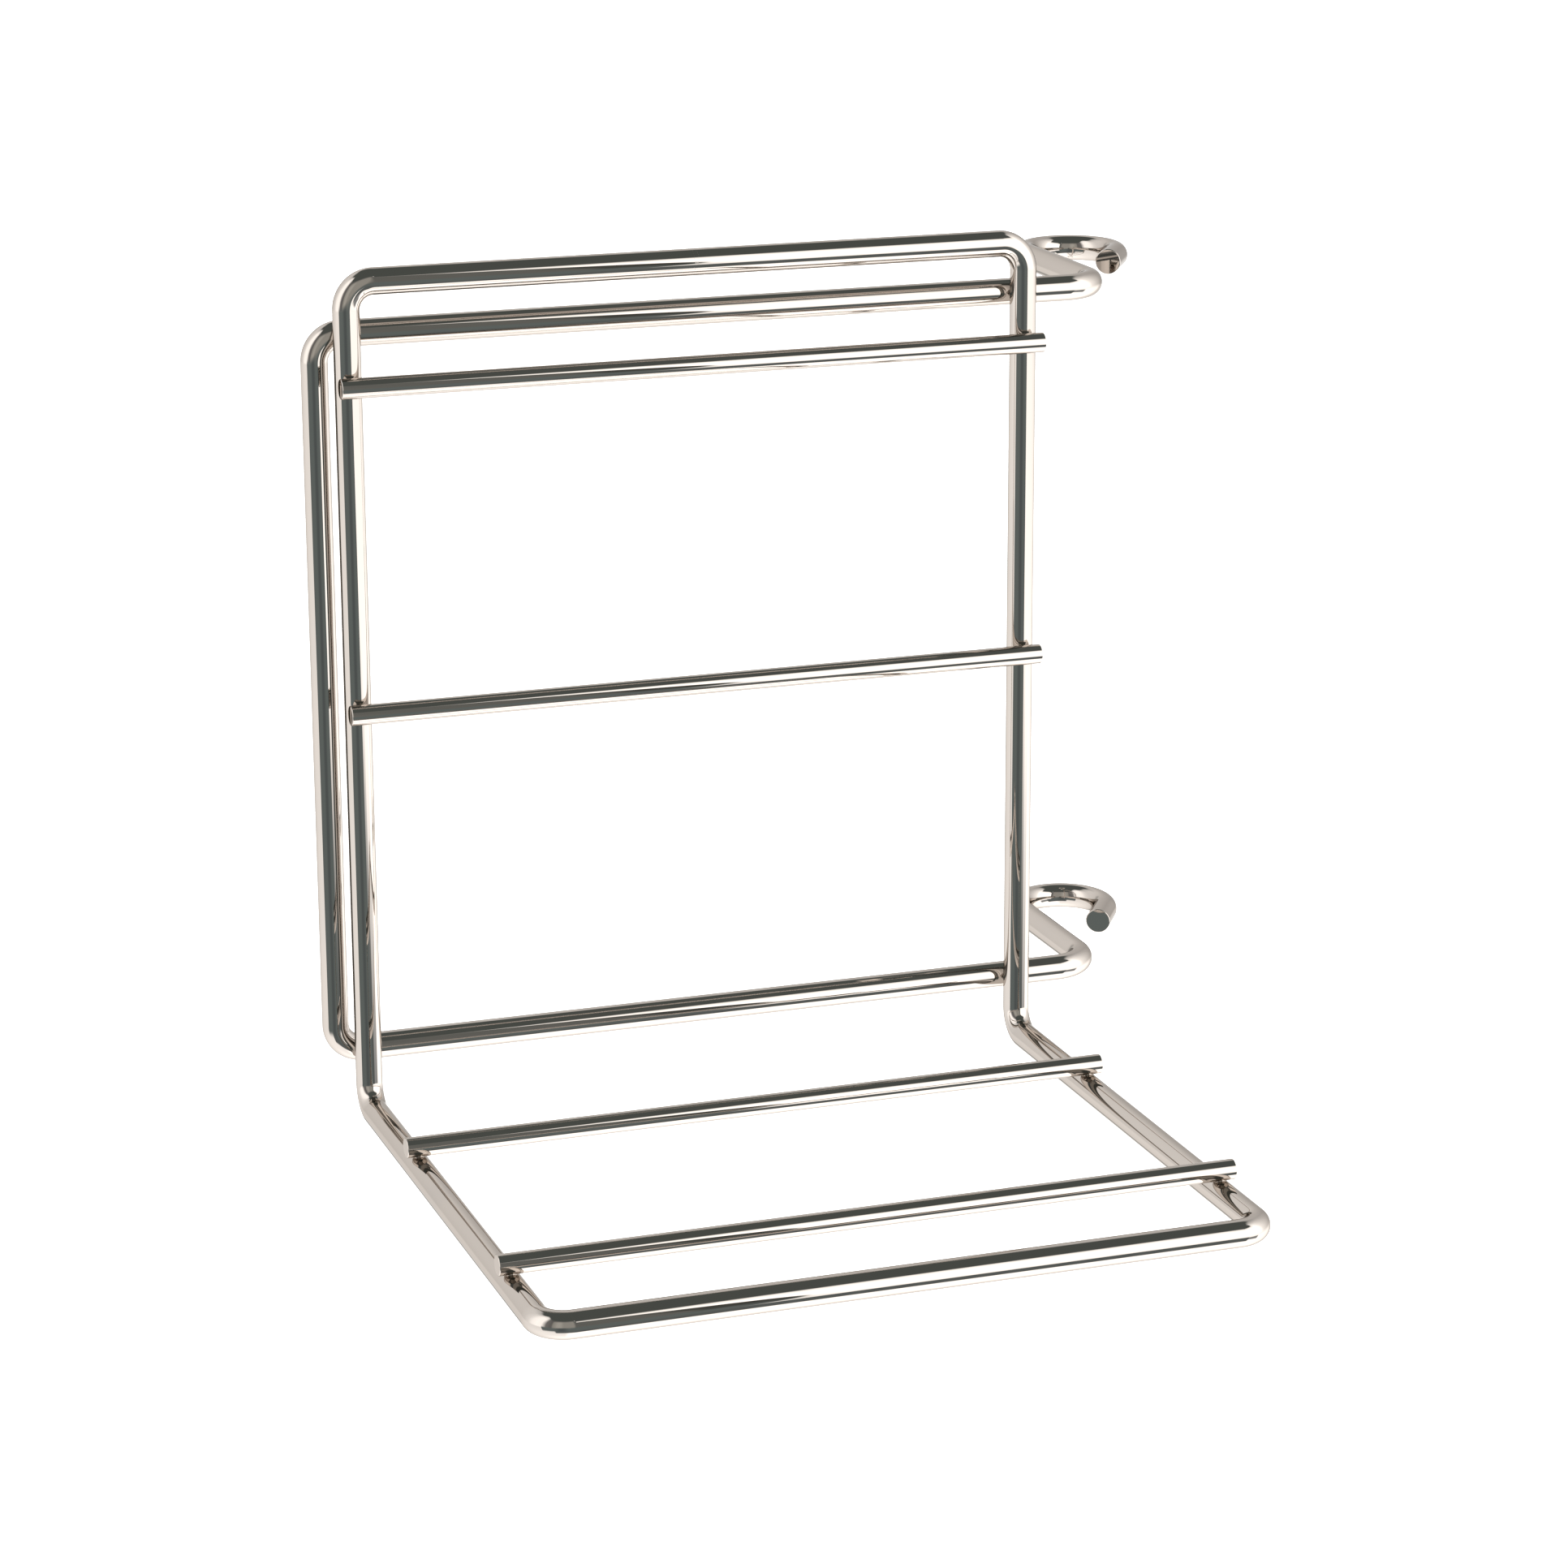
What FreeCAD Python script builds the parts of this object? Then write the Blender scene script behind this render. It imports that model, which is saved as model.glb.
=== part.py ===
"""Towel rack bent and welded from round steel rod, hung on an upright round post by two open hooks.

Units are millimetres. The origin is on the post's axis, level with the upper hook. +Z runs up the post,
-Y faces the person who takes the towels, and the rack stands to the -X side of the post.
"""

import FreeCAD, Part
import os

V = FreeCAD.Vector
SIDEWAYS = V(1, 0, 0)
REARWARD = V(0, 1, 0)
UPWARD = V(0, 0, 1)

# ---- rod stock -------------------------------------------------------------------------------------------
rod_diameter = 10.0            # front frame and hook bracket
bar_diameter = 7.5             # the four crossbars
end_chamfer = 0.4              # deburred edge round every cut end

# ---- front frame: one closed loop, folded into a back and a shelf -----------------------------------------
frame_width = 262.0            # between the centrelines of the two uprights
back_height = 312.0            # from the shelf rails up to the top bar, centre to centre
shelf_depth = 232.0            # from the uprights out to the front bar, centre to centre
frame_bend_radius = 10.0       # centreline radius of all six bends
seam_weld_width = 1.6          # weld metal that closes the loop, ground flush

# ---- crossbars --------------------------------------------------------------------------------------------
upper_bar_drop = 37.0          # top bar down to the upper back bar
back_bar_spacing = 121.0       # upper back bar down to the lower one
front_bar_gap = 38.5           # front bar back to the front shelf bar
shelf_bar_spacing = 121.0      # front shelf bar back to the rear one
bar_end_proud = 0.0            # how far a crossbar's ends stand out past the frame's sides: cut flush

# ---- hook bracket: one rod behind the frame, with a hook at both ends -------------------------------------
arm_inset = 20.0               # top bar down to the upper arm, and shelf rails up to the lower arm
bracket_overrun = 10.0         # how far the bracket's upright stands outside the left upright
bracket_bend_radius = 10.0     # where the arms turn into the bracket's upright
shank_bend_radius = 15.0       # where each arm turns rearward into its hook's shank
post_diameter = 25.0           # the post that the hooks go round
post_clearance = 0.2           # between the post and the inside of a hook, all round
post_offset_side = 54.0        # right upright's centreline to the post's axis, across
post_offset_rear = 73.0        # arms' centreline to the post's axis, front to rear
hook_wrap = 213.0              # degrees that a hook turns round the post
hook_tail = 15.0               # straight end of the rod after the turn

# ---- welds ------------------------------------------------------------------------------------------------
weld_sink = 0.3                # how far two crossing rods are pressed into each other by the welding
weld_collar_radius = 2.6       # edge of the metal squeezed out round the contact patch

# ---- places worked out from the sizes above ---------------------------------------------------------------
rod_radius = rod_diameter / 2
bar_radius = bar_diameter / 2
hook_radius = post_diameter / 2 + post_clearance + rod_radius
arm_offset = rod_diameter - weld_sink
bar_offset = rod_radius + bar_radius - weld_sink
bar_overhang = rod_radius + bar_end_proud
arm_y = -post_offset_rear
frame_y = arm_y - arm_offset
right_x = -post_offset_side
left_x = right_x - frame_width
middle_x = (left_x + right_x) / 2
top_z = arm_inset
shelf_z = top_z - back_height
upper_arm_z = 0.0
lower_arm_z = shelf_z + arm_inset
upper_bar_z = top_z - upper_bar_drop
lower_bar_z = upper_bar_z - back_bar_spacing
front_shelf_bar_y = frame_y - shelf_depth + front_bar_gap
rear_shelf_bar_y = front_shelf_bar_y + shelf_bar_spacing


class RodPath:
    """Centreline of a bent rod, followed as a bending machine does: feed straight, then bend."""

    def __init__(self, start, heading):
        self.point = start
        self.heading = heading
        self.edges = []

    def straight(self, length):
        end = self.point + self.heading * length
        self.edges.append(Part.LineSegment(self.point, end).toShape())
        self.point = end

    def bend_toward(self, side, radius, degrees=90.0):
        """Turns the heading toward side, a unit direction square to it, on an arc of that radius."""
        axis = self.heading.cross(side)
        centre = self.point + side * radius
        spoke = self.point - centre
        half_turn = FreeCAD.Rotation(axis, degrees / 2)
        full_turn = FreeCAD.Rotation(axis, degrees)
        middle = centre + half_turn.multVec(spoke)
        end = centre + full_turn.multVec(spoke)
        self.edges.append(Part.Arc(self.point, middle, end).toShape())
        self.point = end
        self.heading = full_turn.multVec(self.heading)

    def wire(self):
        return Part.Wire(self.edges)


def round_rod(path_wire, start, heading, diameter):
    """Solid round rod whose centreline is path_wire, which begins at start in the direction heading."""
    section = Part.Wire(Part.Circle(start, heading, diameter / 2).toShape())
    shell = path_wire.makePipeShell([section], True, False)
    return Part.Solid(shell) if shell.ShapeType == "Shell" else shell


def deburr_ends(rod, ends):
    """Chamfers the circular edge of each cut end that is centred on one of the points."""
    circles = [
        edge
        for edge in rod.Edges
        if hasattr(edge.Curve, "Center") and any((edge.Curve.Center - end).Length < 1e-3 for end in ends)
    ]
    return rod.makeChamfer(end_chamfer, circles)


def front_frame():
    """The closed loop: top bar, upright, shelf rail, front bar and back again, open only at the seam weld."""
    half_top = frame_width / 2 - frame_bend_radius - seam_weld_width / 2
    upright = back_height - 2 * frame_bend_radius
    rail = shelf_depth - 2 * frame_bend_radius
    front = frame_width - 2 * frame_bend_radius
    start = V(middle_x + seam_weld_width / 2, frame_y, top_z)
    path = RodPath(start, SIDEWAYS)
    path.straight(half_top)
    path.bend_toward(-UPWARD, frame_bend_radius)
    path.straight(upright)
    path.bend_toward(-REARWARD, frame_bend_radius)
    path.straight(rail)
    path.bend_toward(-SIDEWAYS, frame_bend_radius)
    path.straight(front)
    path.bend_toward(REARWARD, frame_bend_radius)
    path.straight(rail)
    path.bend_toward(UPWARD, frame_bend_radius)
    path.straight(upright)
    path.bend_toward(SIDEWAYS, frame_bend_radius)
    path.straight(half_top)
    return round_rod(path.wire(), start, SIDEWAYS, rod_diameter)


def frame_seam_weld():
    """Disc of weld metal between the loop's two ends, in the middle of the top bar."""
    start = V(middle_x - seam_weld_width / 2, frame_y, top_z)
    return Part.makeCylinder(rod_radius, seam_weld_width, start, SIDEWAYS)


def hook_bracket(frame):
    """One rod: hook, lower arm, bracket upright, upper arm, hook. The lower half mirrors the upper one."""
    middle_z = (upper_arm_z + lower_arm_z) / 2
    bracket_x = left_x - bracket_overrun
    shank_x = -hook_radius
    path = RodPath(V(bracket_x, arm_y, middle_z), UPWARD)
    path.straight(upper_arm_z - middle_z - bracket_bend_radius)
    path.bend_toward(SIDEWAYS, bracket_bend_radius)
    path.straight(shank_x - bracket_x - bracket_bend_radius - shank_bend_radius)
    path.bend_toward(REARWARD, shank_bend_radius)
    path.straight(post_offset_rear - shank_bend_radius)
    path.bend_toward(SIDEWAYS, hook_radius, hook_wrap)
    path.straight(hook_tail)
    upper_tip = path.point
    lower_tip = V(upper_tip.x, upper_tip.y, 2 * middle_z - upper_tip.z)
    lower_half = path.wire().mirror(V(0, 0, middle_z), UPWARD)
    whole = Part.Wire(Part.__sortEdges__(lower_half.Edges + path.edges))
    first_tip, first_heading = rod_start(whole, [upper_tip, lower_tip])
    rod = round_rod(whole, first_tip, first_heading, rod_diameter)
    return deburr_ends(rod, [upper_tip, lower_tip]).cut(frame)


def rod_start(wire, tips):
    """The tip where the ordered wire begins, and the direction that the rod takes from there."""
    first_edge = wire.OrderedEdges[0]
    tip = min(tips, key=lambda point: first_edge.distToShape(Part.Vertex(point))[0])
    far_end = max(first_edge.Vertexes, key=lambda vertex: (vertex.Point - tip).Length).Point
    return tip, (far_end - tip).normalize()


def crossbar(side_point, outward, frame):
    """Straight bar laid across the frame, with a shallow saddle where it meets each side.

    side_point is on the left side's centreline, and outward is the direction from there to the bar.
    """
    length = frame_width + 2 * bar_overhang
    left_end = side_point + outward * bar_offset - SIDEWAYS * bar_overhang
    right_end = left_end + SIDEWAYS * length
    bar = Part.makeCylinder(bar_radius, length, left_end, SIDEWAYS)
    return deburr_ends(bar, [left_end, right_end]).cut(frame)


def weld_collars(side_points, outward, offset, frame, crossing_rod):
    """Metal squeezed out round each contact patch, filling the crevice between two crossing rods.

    Each collar stands on a point of a frame side's centreline. offset is the distance from there, in the
    direction outward, to the centreline of the rod that crosses it, and both rods are cut away from it.
    """
    collars = []
    for point in side_points:
        for across in (V(0, 0, 0), SIDEWAYS * frame_width):
            column = Part.makeCylinder(weld_collar_radius, offset, point + across, outward)
            collars.append(column.cut(frame).cut(crossing_rod))
    return collars


def build():
    """Every node of the rack by name."""
    frame = front_frame()
    bracket = hook_bracket(frame)
    crossings = {
        "upper_back_bar": (V(left_x, frame_y, upper_bar_z), -REARWARD),
        "lower_back_bar": (V(left_x, frame_y, lower_bar_z), -REARWARD),
        "rear_shelf_bar": (V(left_x, rear_shelf_bar_y, shelf_z), UPWARD),
        "front_shelf_bar": (V(left_x, front_shelf_bar_y, shelf_z), UPWARD),
    }
    arm_crossings = [V(left_x, frame_y, upper_arm_z), V(left_x, frame_y, lower_arm_z)]
    nodes = {name: crossbar(point, outward, frame) for name, (point, outward) in crossings.items()}
    bar_collars = []
    for name, (point, outward) in crossings.items():
        bar_collars += weld_collars([point], outward, bar_offset, frame, nodes[name])
    arm_collars = weld_collars(arm_crossings, REARWARD, arm_offset, frame, bracket)
    nodes["front_frame"] = frame
    nodes["frame_seam_weld"] = frame_seam_weld()
    nodes["hook_bracket"] = bracket
    nodes["crossbar_welds"] = Part.makeCompound(bar_collars)
    nodes["bracket_welds"] = Part.makeCompound(arm_collars)
    return nodes


os.makedirs("parts", exist_ok=True)
for node, shape in build().items():
    shape.exportStep(f"parts/{node}.step")
    print(f"{node:16s} solids {len(shape.Solids)}  valid {shape.isValid()}  volume {shape.Volume:9.1f} mm3")
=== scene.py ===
"""Looks of a towel rack: steel rod, bent, welded and chrome plated, hung on an upright post by two hooks.

Everything is in metres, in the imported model's frame: the origin is on the post's axis, level with the upper
hook, +Z runs up the post, and -Y faces the person who takes the towels. Rods are surfaces carried along their
own centrelines, which are fed and bent as on a bending machine.
"""

import math
from typing import NamedTuple

import bpy
import numpy as np
from mathutils import Euler, Matrix, Vector


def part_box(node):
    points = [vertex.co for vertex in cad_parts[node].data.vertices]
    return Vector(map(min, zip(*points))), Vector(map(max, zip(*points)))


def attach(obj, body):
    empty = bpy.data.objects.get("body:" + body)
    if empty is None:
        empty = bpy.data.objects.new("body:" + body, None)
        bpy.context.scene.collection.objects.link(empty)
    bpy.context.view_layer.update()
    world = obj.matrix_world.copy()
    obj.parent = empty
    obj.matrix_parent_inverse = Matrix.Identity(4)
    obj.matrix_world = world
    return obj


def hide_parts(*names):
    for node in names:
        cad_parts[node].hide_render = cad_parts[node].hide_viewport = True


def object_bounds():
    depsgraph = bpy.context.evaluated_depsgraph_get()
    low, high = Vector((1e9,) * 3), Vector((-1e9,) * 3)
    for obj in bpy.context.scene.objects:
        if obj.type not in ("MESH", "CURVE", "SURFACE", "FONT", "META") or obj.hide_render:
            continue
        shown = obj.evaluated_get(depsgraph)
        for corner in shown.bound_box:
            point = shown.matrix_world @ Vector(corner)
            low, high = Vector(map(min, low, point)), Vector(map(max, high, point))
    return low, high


bl_info = {
    "name": "Rod Towel Rack",
    "version": (1, 0, 0),
    "blender": (4, 5, 0),
    "location": "View3D > Sidebar > Towel Rack",
    "description": "Builds a chrome rod towel rack round its packed frame, and a plain studio for it",
    "category": "Object",
}

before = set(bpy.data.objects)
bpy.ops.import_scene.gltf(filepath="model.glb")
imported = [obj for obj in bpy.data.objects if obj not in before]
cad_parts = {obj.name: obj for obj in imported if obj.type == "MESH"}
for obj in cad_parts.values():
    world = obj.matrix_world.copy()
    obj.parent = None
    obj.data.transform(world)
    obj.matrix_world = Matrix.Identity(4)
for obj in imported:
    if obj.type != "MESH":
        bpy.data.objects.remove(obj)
CAD_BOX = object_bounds()

MM = 0.001
SIDEWAYS = np.array((1.0, 0.0, 0.0))
REARWARD = np.array((0.0, 1.0, 0.0))
UPWARD = np.array((0.0, 0.0, 1.0))
BACK_BARS = {"upper_back_bar": "upper_back_rod", "lower_back_bar": "lower_back_rod"}
SHELF_BARS = {"rear_shelf_bar": "rear_shelf_rod", "front_shelf_bar": "front_shelf_rod"}

# ---- how finely surfaces are divided ----------------------------------------------------------------------
ROUND_SIDES = 64               # points in each ring of a rod
BEND_STEP = math.radians(3.5)  # largest turn between two rings of a bend
FEED_STEP = 16 * MM            # longest straight stretch between two rings
EDGE_RINGS = 6                 # rings that round off a cut end's edge
WELD_SIDES = 48                # points round a weld fillet
WELD_ROWS = 9                  # rows from one welded rod to the other
FACE_RINGS = (0.3, 0.6, 0.85, 0.97)  # flat rings of a cut end, as shares of its face's radius

# ---- small sizes of the welding ---------------------------------------------------------------------------
WELDED_EDGE = 0.01 * MM        # edge of a rod end that is welded to the next end
WELD_BITE = 0.04 * MM          # how far a fillet's edges sink into the rods that it joins


def node_box(node):
    """Lowest and highest corner of a frame node, as arrays.

    The node's mesh has small facets, which fall up to a hundredth of a millimetre short of the true round
    surface, so each coordinate is taken to the nearest twentieth of a millimetre.
    """
    grid = MM / 20
    low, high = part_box(node)
    return np.round(np.array(low) / grid) * grid, np.round(np.array(high) / grid) * grid


# ==== sizes and finishes that a user can change ============================================================


class RackSizes(bpy.types.PropertyGroup):
    """Rod and bend sizes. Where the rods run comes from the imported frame."""

    rod_diameter: bpy.props.FloatProperty(
        name="Rod diameter",
        description="Thick rod of the front frame and the hook bracket",
        default=10 * MM,
        min=1 * MM,
        subtype="DISTANCE",
        unit="LENGTH",
    )
    bend_radius: bpy.props.FloatProperty(
        name="Bend radius",
        description="Centreline radius of the frame's six bends and the bracket's two",
        default=10 * MM,
        min=5 * MM,
        subtype="DISTANCE",
        unit="LENGTH",
    )
    shank_bend_radius: bpy.props.FloatProperty(
        name="Shank bend radius",
        description="Centreline radius where an arm turns rearward into its hook's shank",
        default=15 * MM,
        min=5 * MM,
        subtype="DISTANCE",
        unit="LENGTH",
    )
    hook_wrap: bpy.props.FloatProperty(
        name="Hook wrap",
        description="How far a hook turns round the post",
        default=math.radians(213),
        subtype="ANGLE",
        unit="ROTATION",
    )
    hook_tail: bpy.props.FloatProperty(
        name="Hook tail",
        description="Straight end of the rod after the hook's turn",
        default=15 * MM,
        min=1 * MM,
        subtype="DISTANCE",
        unit="LENGTH",
    )
    edge_round: bpy.props.FloatProperty(
        name="Edge round",
        description="Deburred edge round each cut end",
        default=0.4 * MM,
        min=0.05 * MM,
        subtype="DISTANCE",
        unit="LENGTH",
    )
    weld_waist: bpy.props.FloatProperty(
        name="Weld waist",
        description="Radius of a weld fillet half way between the two rods that it joins",
        default=2.1 * MM,
        min=0.5 * MM,
        subtype="DISTANCE",
        unit="LENGTH",
    )


class ChromeLook(bpy.types.PropertyGroup):
    """Bright chrome plate over drawn rod."""

    colour: bpy.props.FloatVectorProperty(
        name="Chrome colour",
        description="Colour of the clean plate",
        default=(0.50, 0.455, 0.415),
        min=0,
        max=1,
        subtype="COLOR",
    )
    edge_tint: bpy.props.FloatVectorProperty(
        name="Edge tint",
        description="Share of the usual grazing reflection that the metal keeps",
        default=(0.62, 0.60, 0.58),
        min=0,
        max=1,
        subtype="COLOR",
    )
    haze_colour: bpy.props.FloatVectorProperty(
        name="Haze colour",
        description="Colour of the plate under a thin film of dried water",
        default=(0.485, 0.445, 0.410),
        min=0,
        max=1,
        subtype="COLOR",
    )
    roughness: bpy.props.FloatProperty(
        name="Polish",
        description="Roughness of the clean plate, where 0 is a perfect mirror",
        default=0.006,
        min=0,
        max=1,
        subtype="FACTOR",
    )
    haze_roughness: bpy.props.FloatProperty(
        name="Haze",
        description="Roughness that dried water and fingers add",
        default=0.014,
        min=0,
        max=1,
        subtype="FACTOR",
    )
    line_depth: bpy.props.FloatProperty(
        name="Drawing lines",
        description="Depth of the faint lines that the drawing die leaves along the rod",
        default=0.0003 * MM,
        min=0,
        precision=6,
        unit="LENGTH",
    )


class StudioLook(bpy.types.PropertyGroup):
    """Floor, soft light and camera."""

    floor_drop: bpy.props.FloatProperty(
        name="Floor drop",
        description="From the rack's lowest rod down to the floor, as it hangs in use",
        default=1.2,
        min=0,
        subtype="DISTANCE",
        unit="LENGTH",
    )
    floor_colour: bpy.props.FloatVectorProperty(
        name="Floor colour",
        description="Plain pale floor",
        default=(0.93, 0.93, 0.93),
        min=0,
        max=1,
        subtype="COLOR",
    )
    brightness: bpy.props.FloatProperty(
        name="Light",
        description="Strength of the studio's soft light",
        default=2.02,
        min=0,
    )
    azimuth: bpy.props.FloatProperty(
        name="Azimuth",
        description="Where the camera stands round the rack: 0 is in front, and below 0 is to its left",
        default=math.radians(-19.2),
        subtype="ANGLE",
        unit="ROTATION",
    )
    elevation: bpy.props.FloatProperty(
        name="Elevation",
        description="How far the camera looks down",
        default=math.radians(15.7),
        subtype="ANGLE",
        unit="ROTATION",
    )
    roll: bpy.props.FloatProperty(
        name="Roll",
        description="How far the camera leans, where above 0 its right side is up",
        default=math.radians(-0.245),
        subtype="ANGLE",
        unit="ROTATION",
    )
    distance: bpy.props.FloatProperty(
        name="Distance",
        description="From the camera to the point that it looks at",
        default=1.662,
        min=0.1,
        subtype="DISTANCE",
        unit="LENGTH",
    )
    aim: bpy.props.FloatVectorProperty(
        name="Aim",
        description="From the middle of the rack's box to the point that the camera looks at",
        default=(-19.5 * MM, -1.1 * MM, -26.6 * MM),
        subtype="TRANSLATION",
        unit="LENGTH",
    )
    lens: bpy.props.FloatProperty(
        name="Lens",
        description="Focal length on a 36 mm wide sensor",
        default=104.4,
        min=1,
        unit="CAMERA",
    )


# ==== rods =================================================================================================


class RodPath:
    """Centreline of a bent rod, followed as a bending machine does: feed straight, then bend.

    Each ring of the rod has a centre and a square set of three directions: heading, side and their cross
    product. The set turns only with the bends, so no ring is twisted against the one before it.
    """

    def __init__(self, start, heading, side):
        self.centres = np.array([start])
        self.frames = np.array([[heading, side, np.cross(heading, side)]])

    def extend(self, centres, frames):
        """Adds rings to the end of the path."""
        self.centres = np.concatenate([self.centres, centres])
        self.frames = np.concatenate([self.frames, frames])

    def feed(self, length):
        """Straight stretch: centre + heading * distance, in equal steps."""
        steps = math.ceil(length / FEED_STEP)
        distance = np.linspace(0, length, steps + 1)[1:, None]
        point, directions = self.centres[-1], self.frames[-1]
        self.extend(point + directions[0] * distance, np.repeat(directions[None], steps, axis=0))
        return self

    def bend(self, toward, radius, angle=math.pi / 2):
        """Arc toward a unit direction square to the heading.

        Every ring is the last one turned about the arc's axis by Rodrigues' formula: identity + sin * cross
        matrix + (1 - cos) * cross matrix squared, for evenly spaced angles.
        """
        steps = math.ceil(angle / BEND_STEP)
        point, directions = self.centres[-1], self.frames[-1]
        axis = np.cross(directions[0], toward)
        crossing = np.array(
            [[0, -axis[2], axis[1]], [axis[2], 0, -axis[0]], [-axis[1], axis[0], 0]]
        )
        turned = np.linspace(0, angle, steps + 1)[1:, None, None]
        rotation = np.eye(3) + np.sin(turned) * crossing + (1 - np.cos(turned)) * crossing @ crossing
        pivot = point + np.asarray(toward) * radius
        self.extend(pivot + rotation @ (point - pivot), directions @ rotation.transpose(0, 2, 1))
        return self


def cut_end(radius, rounding):
    """Ring radii, setbacks and leans of a cut end, from near the face's middle out to the full rod.

    The face is flat. Its edge is a quarter circle: for angle e from 0 to 90 degrees the ring's radius is
    radius - rounding * (1 - sin e), it stands rounding * (1 - cos e) behind the face, and its normal leans
    by e from the rod's axis.
    """
    flat = (radius - rounding) * np.array(FACE_RINGS)
    edge = np.linspace(0, math.pi / 2, EDGE_RINGS)
    radii = np.concatenate([flat, radius - rounding * (1 - np.sin(edge))])
    setbacks = np.concatenate([np.zeros(len(flat)), rounding * (1 - np.cos(edge))])
    leans = np.concatenate([np.zeros(len(flat)), edge])
    return radii, setbacks, leans, len(flat)


class Skin(NamedTuple):
    """A closed surface on a grid: rings of points with their normals, and what the finish needs to know.

    along is each ring's distance from the first, girth the distance round, and sawn is 1 on a cut face.
    """

    points: np.ndarray
    normals: np.ndarray
    along: np.ndarray
    girth: float
    sawn: np.ndarray


def rod_skin(path, diameter, rounding):
    """Round rod along a path: centre + radius * (side * cos a + cross * sin a), for a from 0 to 360 degrees.

    Both ends are cut square, with their edges rounded.
    """
    radius = diameter / 2
    radii, setbacks, leans, flat_rings = cut_end(radius, rounding)
    middle = slice(1, -1)
    first, last = path.frames[0], path.frames[-1]
    start = path.centres[0] + first[0] * setbacks[:, None]
    end = path.centres[-1] - last[0] * setbacks[::-1, None]
    centres = np.concatenate([start, path.centres[middle], end])
    frames = np.concatenate(
        [np.repeat(first[None], len(radii), 0), path.frames[middle], np.repeat(last[None], len(radii), 0)]
    )
    ring_radius = np.concatenate([radii, np.full(len(path.centres) - 2, radius), radii[::-1]])
    angle = np.linspace(0, 2 * math.pi, ROUND_SIDES, endpoint=False)[None, :, None]
    spokes = frames[:, None, 1] * np.cos(angle) + frames[:, None, 2] * np.sin(angle)
    points = centres[:, None] + ring_radius[:, None, None] * spokes
    square = np.full(len(path.centres) - 2, math.pi / 2)
    lean = np.concatenate([leans, square, math.pi - leans[::-1]])[:, None, None]
    normals = spokes * np.sin(lean) - frames[:, None, 0] * np.cos(lean)
    steps = np.linalg.norm(np.diff(centres, axis=0), axis=1)
    along = np.concatenate([[0.0], np.cumsum(steps)])
    sawn = np.zeros(len(centres))
    sawn[:flat_rings] = 1
    sawn[-flat_rings:] = 1
    return Skin(points, normals, along, 2 * math.pi * radius, sawn)


def weld_skin(foot, outward, rod_line, rod_radius, crossing_radius, offset, rim, waist):
    """Fillet round the spot where a rod lies across another: a spool about the line through both centrelines.

    foot is on the first rod's centreline, which runs along rod_line, and offset is the distance from there
    to the crossing rod's. For angle a round the spool and v from 0 to 1, the distance from its axis is
    waist + (rim - waist) * (2v - 1) squared. The height runs evenly from the first rod's surface, at
    sqrt(rod_radius^2 - (rim sin a)^2), to the crossing rod's, at
    offset - sqrt(crossing_radius^2 - (rim cos a)^2), and both edges bite a little into the rods.
    """
    angle = np.linspace(0, 2 * math.pi, WELD_SIDES, endpoint=False)[None, :, None]
    v = np.linspace(0, 1, WELD_ROWS)[:, None, None]
    reach = waist + (rim - waist) * (2 * v - 1) ** 2
    low = np.sqrt(rod_radius**2 - (rim * np.sin(angle)) ** 2) - WELD_BITE
    high = offset - np.sqrt(crossing_radius**2 - (rim * np.cos(angle)) ** 2) + WELD_BITE
    across = np.cross(outward, rod_line)
    spokes = rod_line * np.cos(angle) + across * np.sin(angle)
    points = foot + reach * spokes + outward * (low + (high - low) * v)
    round_once = np.concatenate([points[:, -1:], points, points[:, :1]], axis=1)
    normals = np.cross(np.gradient(round_once, axis=1)[:, 1:-1], np.gradient(points, axis=0))
    normals /= np.linalg.norm(normals, axis=-1, keepdims=True)
    along = np.linspace(0, rim, WELD_ROWS)
    return Skin(points, normals, along, 2 * math.pi * waist, np.zeros(WELD_ROWS))


# ==== meshes ===============================================================================================


def skin_faces(rings, around, first):
    """Corner numbers of a skin's quads, and of the triangles that close both ends on a middle point.

    The rings' points are numbered from first, and the two middle points follow them. Seen from outside,
    corners run anticlockwise.
    """
    spot = np.arange(around)
    beside = (spot + 1) % around
    ring = (np.arange(rings - 1) * around)[:, None]
    quads = np.stack([ring + spot, ring + beside, ring + around + beside, ring + around + spot], axis=-1)
    last = (rings - 1) * around
    start_pole = np.full(around, rings * around)
    start = np.stack([start_pole, beside, spot], axis=-1)
    end = np.stack([start_pole + 1, last + spot, last + beside], axis=-1)
    return quads.reshape(-1, 4) + first, np.concatenate([start, end]) + first


def skin_uv(skin):
    """Texture place of every face corner, in metres: distance along, and distance round the girth."""
    rings, around = skin.points.shape[:2]
    spot = np.arange(around) / around * skin.girth
    beside = spot + skin.girth / around
    here = np.repeat(skin.along[:-1, None], around, axis=1)
    there = np.repeat(skin.along[1:, None], around, axis=1)
    spot_grid = np.broadcast_to(spot, here.shape)
    beside_grid = np.broadcast_to(beside, here.shape)
    u = np.stack([here, here, there, there], axis=-1)
    v = np.stack([spot_grid, beside_grid, beside_grid, spot_grid], axis=-1)
    middle = (spot + beside) / 2
    cap_u = np.repeat([skin.along[0], skin.along[-1]], 3 * around)
    cap_v = np.concatenate(
        [np.stack([middle, beside, spot], axis=-1).ravel(), np.stack([middle, spot, beside], axis=-1).ravel()]
    )
    return np.stack([u.ravel(), v.ravel()], axis=-1), np.stack([cap_u, cap_v], axis=-1)


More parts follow.
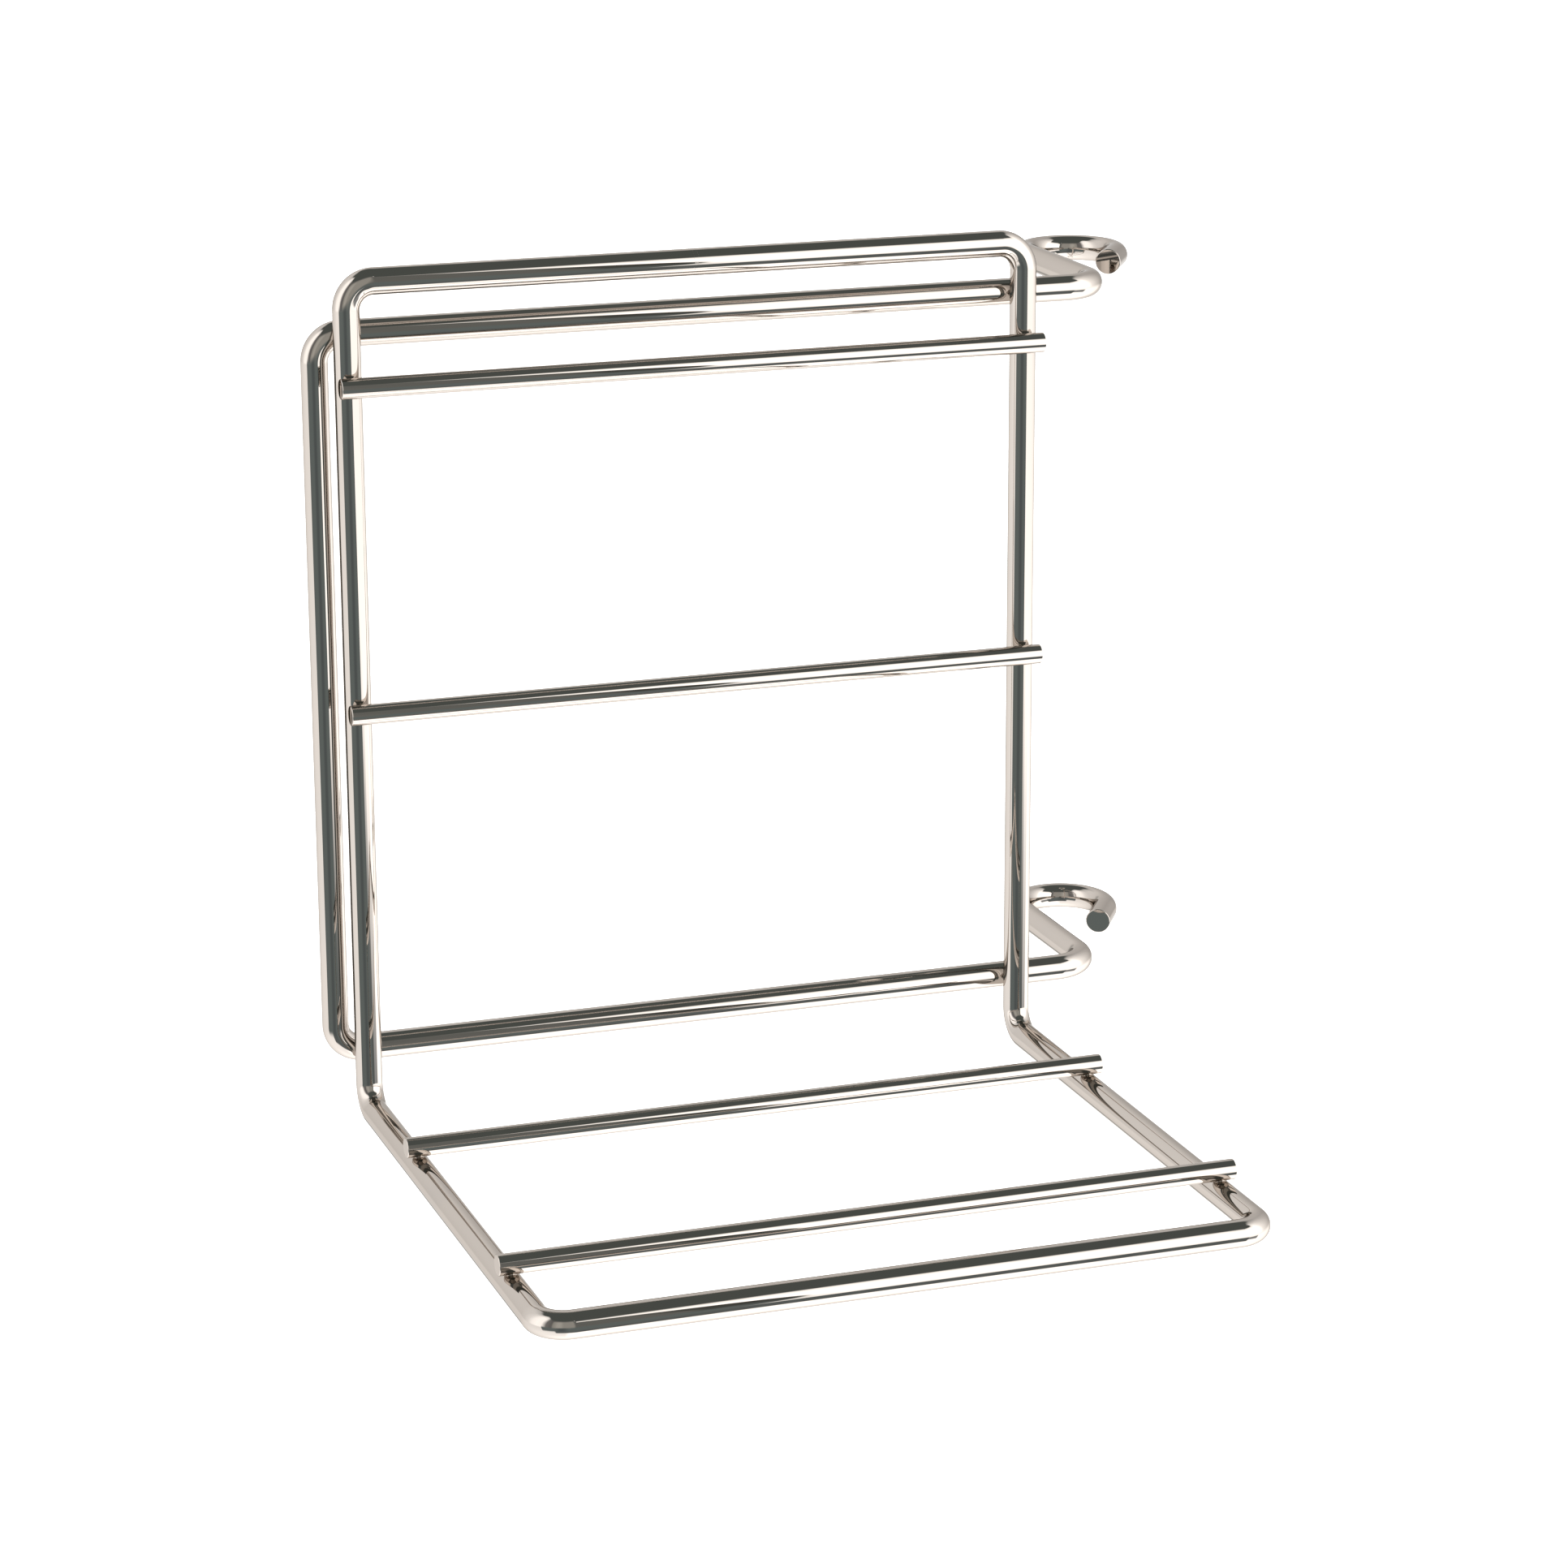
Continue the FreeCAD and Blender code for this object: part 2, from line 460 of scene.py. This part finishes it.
def make_piece(name, skins, material, slot, *nodes):
    """Makes one object of closed skins, which rides on the frame and stands for those nodes."""
    points, normals, quads, caps, quad_uv, cap_uv, sawn = [], [], [], [], [], [], []
    count = 0
    for skin in skins:
        rings, around = skin.points.shape[:2]
        poles = skin.points[[0, -1]].mean(axis=1)
        quad, cap = skin_faces(rings, around, count)
        quad_place, cap_place = skin_uv(skin)
        points += [skin.points.reshape(-1, 3), poles]
        normals += [skin.normals.reshape(-1, 3), skin.normals[[0, -1]].mean(axis=1)]
        sawn += [np.repeat(skin.sawn, around), skin.sawn[[0, -1]]]
        quads.append(quad)
        caps.append(cap)
        quad_uv.append(quad_place)
        cap_uv.append(cap_place)
        count += rings * around + len(poles)
    mesh = bpy.data.meshes.new(name)
    faces = np.concatenate(quads).tolist() + np.concatenate(caps).tolist()
    mesh.from_pydata(np.concatenate(points).tolist(), [], faces)
    mesh.uv_layers.new(name="Rod")
    mesh.uv_layers["Rod"].data.foreach_set("uv", np.concatenate(quad_uv + cap_uv).astype(np.float32).ravel())
    mesh.attributes.new("sawn", "FLOAT", "POINT")
    mesh.attributes["sawn"].data.foreach_set("value", np.concatenate(sawn).astype(np.float32))
    mesh.materials.append(material)
    mesh.shade_smooth()
    mesh.update()
    if mesh.validate():
        raise RuntimeError(f"{name} has faulty faces")
    mesh.normals_split_custom_set_from_vertices(np.concatenate(normals).tolist())
    piece = bpy.data.objects.new(name, mesh)
    bpy.context.scene.collection.objects.link(piece)
    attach(piece, "root")
    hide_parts(*nodes)


# ==== shader building ======================================================================================


class Signal:
    """A shader socket for Python's operators: each operator adds the Math node that it stands for."""

    def __init__(self, sheet, socket):
        self.sheet = sheet
        self.socket = socket

    def math(self, operation, *others):
        return self.sheet.node("ShaderNodeMath", {"operation": operation}, dict(enumerate((self, *others))))

    def __add__(self, other):
        return self.math("ADD", other)

    def __sub__(self, other):
        return self.math("SUBTRACT", other)

    def __rsub__(self, other):
        return self.sheet.node("ShaderNodeMath", {"operation": "SUBTRACT"}, {0: other, 1: self})

    def __mul__(self, other):
        return self.math("MULTIPLY", other)

    def __truediv__(self, other):
        return self.math("DIVIDE", other)

    def __pow__(self, other):
        return self.math("POWER", other)

    def __abs__(self):
        return self.math("ABSOLUTE")

    __radd__ = __add__
    __rmul__ = __mul__


class NodeSheet:
    """The node tree of one material or world."""

    def __init__(self, owner):
        owner.use_nodes = True
        self.tree = owner.node_tree
        self.tree.nodes.clear()

    def node(self, kind, settings=None, sockets=None, output=0):
        """Adds a node: first its settings, then a value or a link for each socket, by name or number."""
        made = self.tree.nodes.new(kind)
        for name, value in (settings or {}).items():
            if name == "stops":
                self.set_stops(made.color_ramp, value)
            else:
                setattr(made, name, value)
        for key, value in (sockets or {}).items():
            if isinstance(value, Signal):
                self.tree.links.new(value.socket, made.inputs[key])
            else:
                made.inputs[key].default_value = value
        return Signal(self, made.outputs[output]) if made.outputs else None

    def set_stops(self, ramp, stops):
        """Gives a colour ramp its stops, from lowest to highest."""
        while len(ramp.elements) < len(stops):
            ramp.elements.new(1)
        for element, (position, colour) in zip(ramp.elements, stops):
            element.position = position
            element.color = opaque(colour)

    def ramp(self, value, stops):
        """Colour that runs evenly from stop to stop as value goes from 0 to 1."""
        return self.node("ShaderNodeValToRGB", {"stops": stops}, {"Fac": value})

    def curve(self, value, low, high, points):
        """Number that runs evenly from point to point: each is a place from low to high, and its number."""
        span = high - low
        stops = [((place - low) / span, (number,) * 3) for place, number in points]
        return self.ramp((value - low) / span, stops)

    def mix(self, share, first, second):
        """Colour between two colours: share 0 is the first, and share 1 the second."""
        return self.node("ShaderNodeMix", {"data_type": "RGBA"}, {0: share, 6: first, 7: second}, output=2)

    def fade(self, value, full, gone):
        """1 up to full, 0 from gone on, and smooth between them."""
        sockets = {"Value": value, "From Min": full, "From Max": gone, "To Min": 1, "To Max": 0}
        return self.node("ShaderNodeMapRange", {"interpolation_type": "SMOOTHSTEP"}, sockets)

    def noise(self, place, scale, detail=2):
        """Cloudy value from 0 to 1, mostly near 0.5."""
        return self.node("ShaderNodeTexNoise", None, {"Vector": place, "Scale": scale, "Detail": detail})

    def split(self, vector):
        """The three parts of a vector."""
        return [self.node("ShaderNodeSeparateXYZ", None, {0: vector}, output=part) for part in range(3)]

    def stretch(self, vector, factors):
        """A vector with each part multiplied by its own factor."""
        return self.node("ShaderNodeVectorMath", {"operation": "MULTIPLY"}, {0: vector, 1: factors})


def opaque(colour):
    """A colour with full alpha, as sockets and ramps take it."""
    return (*colour, 1.0)


# ==== finishes =============================================================================================


HAZE_SCALE = 22                # patches of dried water in a metre
HAZE_FADE = (0.50, 0.72)       # noise values where a patch begins and where it is full
RUB_REACH = (12.8 * MM, 14.6 * MM)  # from the post's axis: rubbed up to the first, clean from the second
RUB_SCALE = 260                # rubbed spots in a metre
RUB_FADE = (0.42, 0.62)        # noise values where a spot is full and where it ends
RUB_ROUGHNESS = 0.04
LINE_STRETCH = (6, 700, 1)     # drawing lines in a metre, along the rod and round it
LINE_ROUGHNESS = 0.004
SAW_STRETCH = (300, 300, 2500)  # saw marks in a metre, across, rearward and up
SAW_ROUGHNESS = 0.01
SWELL_SCALE = 55               # slow swells of the surface in a metre
SWELL_HEIGHT = 2               # their height, against the lines'
WELD_UNEVENNESS = 8            # depth of a weld's surface, against a rod's
WELD_ROUGHNESS = 0.03


def chrome(name, look, texture_depth, extra_roughness):
    """Bright plate over drawn rod, or over weld metal where texture_depth is larger.

    Dried water hazes it in soft patches, the post rubs the inside of the hooks dull, and sawn ends are
    plated over saw marks.
    """
    found = bpy.data.materials.get(name)
    if found:
        return found
    material = bpy.data.materials.new(name)
    sheet = NodeSheet(material)
    place = sheet.node("ShaderNodeTexCoord", output="Object")
    rod_place = sheet.node("ShaderNodeUVMap", {"uv_map": "Rod"})
    sawn = sheet.node("ShaderNodeAttribute", {"attribute_name": "sawn"}, output="Fac")
    across, rearward, _ = sheet.split(place)

    haze = 1 - sheet.fade(sheet.noise(place, HAZE_SCALE, detail=4), *HAZE_FADE)
    from_post = (across * across + rearward * rearward) ** 0.5
    spots = sheet.fade(sheet.noise(place, RUB_SCALE, detail=3), *RUB_FADE)
    rubbed = sheet.fade(from_post, *RUB_REACH) * spots
    colour = sheet.mix(haze, opaque(look.colour), opaque(look.haze_colour))

    lines = sheet.noise(sheet.stretch(rod_place, LINE_STRETCH), scale=1, detail=3)
    swell = sheet.noise(place, SWELL_SCALE, detail=1)
    saw_marks = sheet.noise(sheet.stretch(place, SAW_STRETCH), scale=1)
    relief = (lines * (1 - sawn) + saw_marks * sawn + swell * SWELL_HEIGHT) * texture_depth
    normal = sheet.node("ShaderNodeBump", None, {"Height": relief, "Distance": 1, "Strength": 1})
    roughness = (
        look.roughness
        + extra_roughness
        + haze * look.haze_roughness
        + rubbed * RUB_ROUGHNESS
        + sawn * SAW_ROUGHNESS
        + (lines - 0.5) * LINE_ROUGHNESS
    )
    sockets = {
        "Base Color": colour,
        "Metallic": 1.0,
        "Roughness": roughness,
        "Specular Tint": opaque(look.edge_tint),
        "Normal": normal,
    }
    surface = sheet.node("ShaderNodeBsdfPrincipled", None, sockets)
    sheet.node("ShaderNodeOutputMaterial", None, {"Surface": surface})
    return material


def rod_chrome(context):
    """Finish of the frame, the bracket and the crossbars."""
    look = context.scene.chrome_look
    return chrome("chrome_on_drawn_rod", look, look.line_depth, 0.0)


def weld_chrome(context):
    """Finish of the weld metal: the same plate over a less even surface."""
    look = context.scene.chrome_look
    return chrome("chrome_on_weld_metal", look, look.line_depth * WELD_UNEVENNESS, WELD_ROUGHNESS)


# ==== operators: one for each piece or group of like pieces ================================================


class RACK_OT_front_frame(bpy.types.Operator):
    """Bend the closed loop of the front frame and close it with its seam weld"""

    bl_idname = "towel_rack.front_frame"
    bl_label = "Front Frame"

    def execute(self, context):
        sizes = context.scene.rack_sizes
        radius = sizes.rod_diameter / 2
        bend = sizes.bend_radius
        low, high = node_box("front_frame")
        width, depth, height = high - low - 2 * radius
        seam_low, seam_high = node_box("frame_seam_weld")
        seam_width = (seam_high - seam_low)[0]
        start = np.array((seam_high[0], high[1] - radius, high[2] - radius))
        half_top = high[0] - radius - bend - seam_high[0]
        path = RodPath(start, SIDEWAYS, UPWARD)
        path.feed(half_top).bend(-UPWARD, bend)
        path.feed(height - 2 * bend).bend(-REARWARD, bend)
        path.feed(depth - 2 * bend).bend(-SIDEWAYS, bend)
        path.feed(width - 2 * bend).bend(REARWARD, bend)
        path.feed(depth - 2 * bend).bend(UPWARD, bend)
        path.feed(height - 2 * bend).bend(SIDEWAYS, bend)
        path.feed(half_top)
        loop = rod_skin(path, sizes.rod_diameter, WELDED_EDGE)
        make_piece("frame_loop", [loop], rod_chrome(context), "frame_chrome", "front_frame")
        seam = RodPath(start - SIDEWAYS * seam_width, SIDEWAYS, UPWARD).feed(seam_width)
        band = rod_skin(seam, sizes.rod_diameter, WELDED_EDGE)
        make_piece("loop_seam", [band], weld_chrome(context), "weld_chrome", "frame_seam_weld")
        return {"FINISHED"}


class RACK_OT_hook_bracket(bpy.types.Operator):
    """Bend the rear rod: hook, lower arm, upright, upper arm, hook"""

    bl_idname = "towel_rack.hook_bracket"
    bl_label = "Hook Bracket"

    def execute(self, context):
        sizes = context.scene.rack_sizes
        radius = sizes.rod_diameter / 2
        low, high = node_box("hook_bracket")
        hook_radius = high[0] - radius
        arm_y = low[1] + radius
        upright_x = low[0] + radius
        lower_z = low[2] + radius
        upper_z = high[2] - radius
        arm = -hook_radius - upright_x - sizes.bend_radius - sizes.shank_bend_radius
        shank = -arm_y - sizes.shank_bend_radius

        turn = sizes.hook_wrap
        heading = -SIDEWAYS * math.sin(turn) - REARWARD * math.cos(turn)
        inward = SIDEWAYS * math.cos(turn) - REARWARD * math.sin(turn)
        tip = UPWARD * lower_z - inward * hook_radius - heading * sizes.hook_tail

        path = RodPath(tip, heading, UPWARD)
        path.feed(sizes.hook_tail).bend(inward, hook_radius, turn)
        path.feed(shank).bend(-SIDEWAYS, sizes.shank_bend_radius)
        path.feed(arm).bend(UPWARD, sizes.bend_radius)
        path.feed(upper_z - lower_z - 2 * sizes.bend_radius).bend(SIDEWAYS, sizes.bend_radius)
        path.feed(arm).bend(REARWARD, sizes.shank_bend_radius)
        path.feed(shank).bend(SIDEWAYS, hook_radius, turn)
        path.feed(sizes.hook_tail)
        rod = rod_skin(path, sizes.rod_diameter, sizes.edge_round)
        make_piece("bracket_rod", [rod], rod_chrome(context), "frame_chrome", "hook_bracket")
        return {"FINISHED"}


def bar_line(node):
    """Left end, length and diameter of a crossbar."""
    low, high = node_box(node)
    middle = (low + high) / 2
    diameter = max(high[1] - low[1], high[2] - low[2])
    return np.array((low[0], middle[1], middle[2])), high[0] - low[0], diameter


class RACK_OT_crossbars(bpy.types.Operator):
    """Cut the four straight bars of the back and the shelf"""

    bl_idname = "towel_rack.crossbars"
    bl_label = "Crossbars"

    def execute(self, context):
        sizes = context.scene.rack_sizes
        for node, name in {**BACK_BARS, **SHELF_BARS}.items():
            left_end, length, diameter = bar_line(node)
            path = RodPath(left_end, SIDEWAYS, UPWARD).feed(length)
            bar = rod_skin(path, diameter, sizes.edge_round)
            make_piece(name, [bar], rod_chrome(context), "bar_chrome", node)
        return {"FINISHED"}


class RACK_OT_welds(bpy.types.Operator):
    """Run weld metal round every spot where a crossbar or an arm crosses the frame"""

    bl_idname = "towel_rack.welds"
    bl_label = "Welds"

    def execute(self, context):
        sizes = context.scene.rack_sizes
        radius = sizes.rod_diameter / 2
        frame_low, frame_high = node_box("front_frame")
        sides = (frame_low[0] + radius, frame_high[0] - radius)
        frame_y = frame_high[1] - radius
        shelf_z = frame_low[2] + radius
        rim = node_box("crossbar_welds")[1][0] - sides[1]

        bar_fillets = []
        for node in (*BACK_BARS, *SHELF_BARS):
            (_, bar_y, bar_z), _, diameter = bar_line(node)
            on_back = node in BACK_BARS
            outward, line = (-REARWARD, UPWARD) if on_back else (UPWARD, REARWARD)
            offset = frame_y - bar_y if on_back else bar_z - shelf_z
            for side in sides:
                foot = np.array((side, frame_y, bar_z) if on_back else (side, bar_y, shelf_z))
                bar_fillets.append(
                    weld_skin(foot, outward, line, radius, diameter / 2, offset, rim, sizes.weld_waist)
                )
        make_piece("crossbar_fillets", bar_fillets, weld_chrome(context), "weld_chrome", "crossbar_welds")

        bracket_low, bracket_high = node_box("hook_bracket")
        offset = bracket_low[1] + radius - frame_y
        feet = [
            np.array((side, frame_y, arm_z))
            for side in sides
            for arm_z in (bracket_low[2] + radius, bracket_high[2] - radius)
        ]
        arm_fillets = [
            weld_skin(foot, REARWARD, UPWARD, radius, radius, offset, rim, sizes.weld_waist) for foot in feet
        ]
        make_piece("bracket_fillets", arm_fillets, weld_chrome(context), "weld_chrome", "bracket_welds")
        return {"FINISHED"}


# ==== studio ===============================================================================================


class Card(NamedTuple):
    """A soft-edged card of the studio, with its middle, half sizes and blurs in degrees."""

    bearing: float
    half_width: float
    side_blur: float
    height: float
    half_height: float
    top_blur: float
    shade: tuple


# Bearings are in degrees: 0 is rearward and 90 to the right, so the camera stands near -160. The room has
# bright walls at both sides, a white table below, a dark ceiling, and a dark screen behind the camera.
WALL_BRIGHTNESS = (            # by bearing
    (-180, 0.115), (-127, 0.115), (-116, 0.15), (-104, 1.0), (-90, 1.05), (-75, 0.96), (-62, 0.73),
    (-45, 0.62), (5, 0.61), (25, 0.49), (40, 0.41), (55, 0.49), (75, 0.66), (95, 0.90), (108, 1.3),
    (164, 1.3), (166, 0.115), (180, 0.115),
)
WALL_TOPS = (                  # how many degrees up the walls reach, by bearing
    (-180, 47), (-125, 51), (-98, 63), (-80, 66), (-60, 60), (-20, 56), (0, 44), (12, 44), (24, 48),
    (38, 46), (65, 59), (95, 61), (114, 48), (145, 46), (152, 44), (156, 42), (159, 39), (162, 36),
    (163, 46), (180, 47),
)
TABLE_BRIGHTNESS = (           # by elevation in degrees
    (-90, 1.2), (-60, 0.93), (-45, 0.89), (-25, 0.79), (-10, 0.75),
)
TABLE_FADE = (-12, -6)         # table up to the first elevation, walls from the second
CEILING_FADE = (-3, 3)         # walls up to the first, ceiling from the second, against the walls' tops
CEILING_SHADE = (0.061, 0.070, 0.067)
WHITE = (1.0, 1.0, 1.0)        # what the camera sees past the floor
SHADOW_FADE = (-14, 0)         # the walls darken from the first to the second, against their tops
SHADOW = 0.3                   # share of the ceiling's shade in the walls at their very tops
CARDS = (                      # a later card lies over an earlier one
    Card(-1, 6, 5, -11, 29, 10, (0.420, 0.430, 0.430)),         # gap between the walls at the rear
    Card(125, 62, 18, -46, 36, 18, (1.25, 1.25, 1.25)),         # table lit by the bright wall on the right
    Card(140, 25, 6, -25, 8, 6, (0.212, 0.225, 0.235)),         # grey skirting on the right
    Card(171, 9, 0.3, 14, 30, 5, (0.108, 0.114, 0.110)),        # the screen's right edge
    Card(162.7, 0.65, 0.3, 0, 17, 8, (0.050, 0.053, 0.050)),    # gap between that edge and the bright wall
    Card(-162, 29, 7, 12, 31, 14, (0.250, 0.250, 0.235)),       # the screen, lit by what it faces
    Card(-150, 8, 12, 14, 26, 20, (0.330, 0.330, 0.310)),       # brightest part of the screen
    Card(-177, 38, 6, -29.5, 13.5, 6, (0.088, 0.102, 0.105)),   # dark skirting in front
    Card(-151, 47, 2, -17, 13, 14, (0.102, 0.124, 0.126)),      # foot of the screen
    Card(-157, 12, 18, -17, 13, 14, (0.070, 0.084, 0.088)),     # darkest part of the foot
)
FLOOR_HALF = 30.0              # metres from the floor's middle to its edges
FLOOR_ROUGHNESS = 0.8
FLOOR_GLOW = 1.1               # keeps the floor evenly white out to its edges
SENSOR_WIDTH = 36              # millimetres
CAMERA_REACH = 100             # metres, past the floor's far edge


class RACK_OT_studio(bpy.types.Operator):
    """Lay the floor, light the studio and set up the camera"""

    bl_idname = "towel_rack.studio"
    bl_label = "Studio"

    def execute(self, context):
        look = context.scene.studio_look
        context.scene.view_settings.view_transform = "Standard"
        self.lay_floor(context, look)
        self.light_room(context, look)
        self.place_camera(context, look)
        return {"FINISHED"}

    def lay_floor(self, context, look):
        """Wide flat floor under the rack. It doesn't show in the chrome, which mirrors the room's light."""
        corners = np.array(((-1, -1), (1, -1), (1, 1), (-1, 1))) * FLOOR_HALF
        level = np.full((4, 1), CAD_BOX[0].z - look.floor_drop)
        mesh = bpy.data.meshes.new("floor")
        mesh.from_pydata(np.hstack([corners, level]).tolist(), [], [(0, 1, 2, 3)])
        material = bpy.data.materials.new("pale_floor")
        sheet = NodeSheet(material)
        sockets = {
            "Base Color": opaque(look.floor_colour),
            "Roughness": FLOOR_ROUGHNESS,
            "Emission Color": opaque(look.floor_colour),
            "Emission Strength": FLOOR_GLOW,
        }
        surface = sheet.node("ShaderNodeBsdfPrincipled", None, sockets)
        sheet.node("ShaderNodeOutputMaterial", None, {"Surface": surface})
        mesh.materials.append(material)
        floor = bpy.data.objects.new("floor", mesh)
        floor.visible_glossy = False
        context.scene.collection.objects.link(floor)

    def light_room(self, context, look):
        """Soft light by direction: walls round the room, a white table below and a dark ceiling above."""
        world = bpy.data.worlds.new("soft_studio")
        context.scene.world = world
        sheet = NodeSheet(world)
        x, y, z = sheet.split(sheet.node("ShaderNodeTexCoord", output="Generated"))
        elevation = z.math("ARCSINE") * math.degrees(1)
        bearing = x.math("ARCTAN2", y) * math.degrees(1)

        walls = sheet.curve(bearing, -180, 180, WALL_BRIGHTNESS)
        table = sheet.curve(elevation, -90, 0, TABLE_BRIGHTNESS)
        above = elevation - sheet.curve(bearing, -180, 180, WALL_TOPS)
        unshaded = sheet.fade(above, *SHADOW_FADE) * SHADOW + (1 - SHADOW)
        walls = sheet.mix(unshaded, opaque(CEILING_SHADE), walls)
        light = sheet.mix(sheet.fade(elevation, *TABLE_FADE), walls, table)
        light = sheet.mix(sheet.fade(above, *CEILING_FADE), opaque(CEILING_SHADE), light)
        for card in CARDS:
            aside = abs((bearing - card.bearing).math("WRAP", 180, -180)) - card.half_width
            beyond = abs(elevation - card.height) - card.half_height
            within = sheet.fade(aside, -card.side_blur / 2, card.side_blur / 2)
            within = within * sheet.fade(beyond, -card.top_blur / 2, card.top_blur / 2)
            light = sheet.mix(within, light, opaque(card.shade))
        seen = sheet.node("ShaderNodeLightPath", output="Is Camera Ray")
        shown = sheet.mix(seen, light, opaque(WHITE))
        background = sheet.node("ShaderNodeBackground", None, {"Color": shown, "Strength": look.brightness})
        sheet.node("ShaderNodeOutputWorld", None, {"Surface": background})

    def place_camera(self, context, look):
        """Long lens in front of the rack, to its left and a little above it."""
        data = bpy.data.cameras.new("camera")
        data.sensor_width = SENSOR_WIDTH
        data.lens = look.lens
        data.clip_end = CAMERA_REACH
        camera = bpy.data.objects.new("camera", data)
        aimed = Euler((math.pi / 2 - look.elevation, 0, look.azimuth)).to_matrix()
        turned = aimed @ Matrix.Rotation(look.roll, 3, "Z")
        middle = (CAD_BOX[0] + CAD_BOX[1]) / 2
        stand = middle + Vector(look.aim) + turned.col[2] * look.distance
        camera.matrix_world = Matrix.LocRotScale(stand, turned, None)
        context.scene.collection.objects.link(camera)
        context.scene.camera = camera


class RACK_PT_panel(bpy.types.Panel):
    """Lists the rack's sizes and finishes, and a button for each piece"""

    bl_idname = "RACK_PT_panel"
    bl_label = "Towel Rack"
    bl_space_type = "VIEW_3D"
    bl_region_type = "UI"
    bl_category = "Towel Rack"

    def draw(self, context):
        layout = self.layout
        for group in (context.scene.rack_sizes, context.scene.chrome_look, context.scene.studio_look):
            box = layout.box()
            for name in group.__annotations__:
                box.prop(group, name)
        for operator in OPERATORS:
            layout.operator(operator.bl_idname)


OPERATORS = (RACK_OT_front_frame, RACK_OT_hook_bracket, RACK_OT_crossbars, RACK_OT_welds, RACK_OT_studio)
CLASSES = (RackSizes, ChromeLook, StudioLook, *OPERATORS, RACK_PT_panel)


def register():
    """Adds the classes, and the three groups of values to every scene."""
    for cls in CLASSES:
        bpy.utils.register_class(cls)
    bpy.types.Scene.rack_sizes = bpy.props.PointerProperty(type=RackSizes)
    bpy.types.Scene.chrome_look = bpy.props.PointerProperty(type=ChromeLook)
    bpy.types.Scene.studio_look = bpy.props.PointerProperty(type=StudioLook)


def unregister():
    """Takes back what register added."""
    del bpy.types.Scene.studio_look
    del bpy.types.Scene.chrome_look
    del bpy.types.Scene.rack_sizes
    for cls in reversed(CLASSES):
        bpy.utils.unregister_class(cls)


def main():
    register()
    bpy.ops.towel_rack.front_frame()
    bpy.ops.towel_rack.hook_bracket()
    bpy.ops.towel_rack.crossbars()
    bpy.ops.towel_rack.welds()
    bpy.ops.towel_rack.studio()


if __name__ == "__main__":
    main()
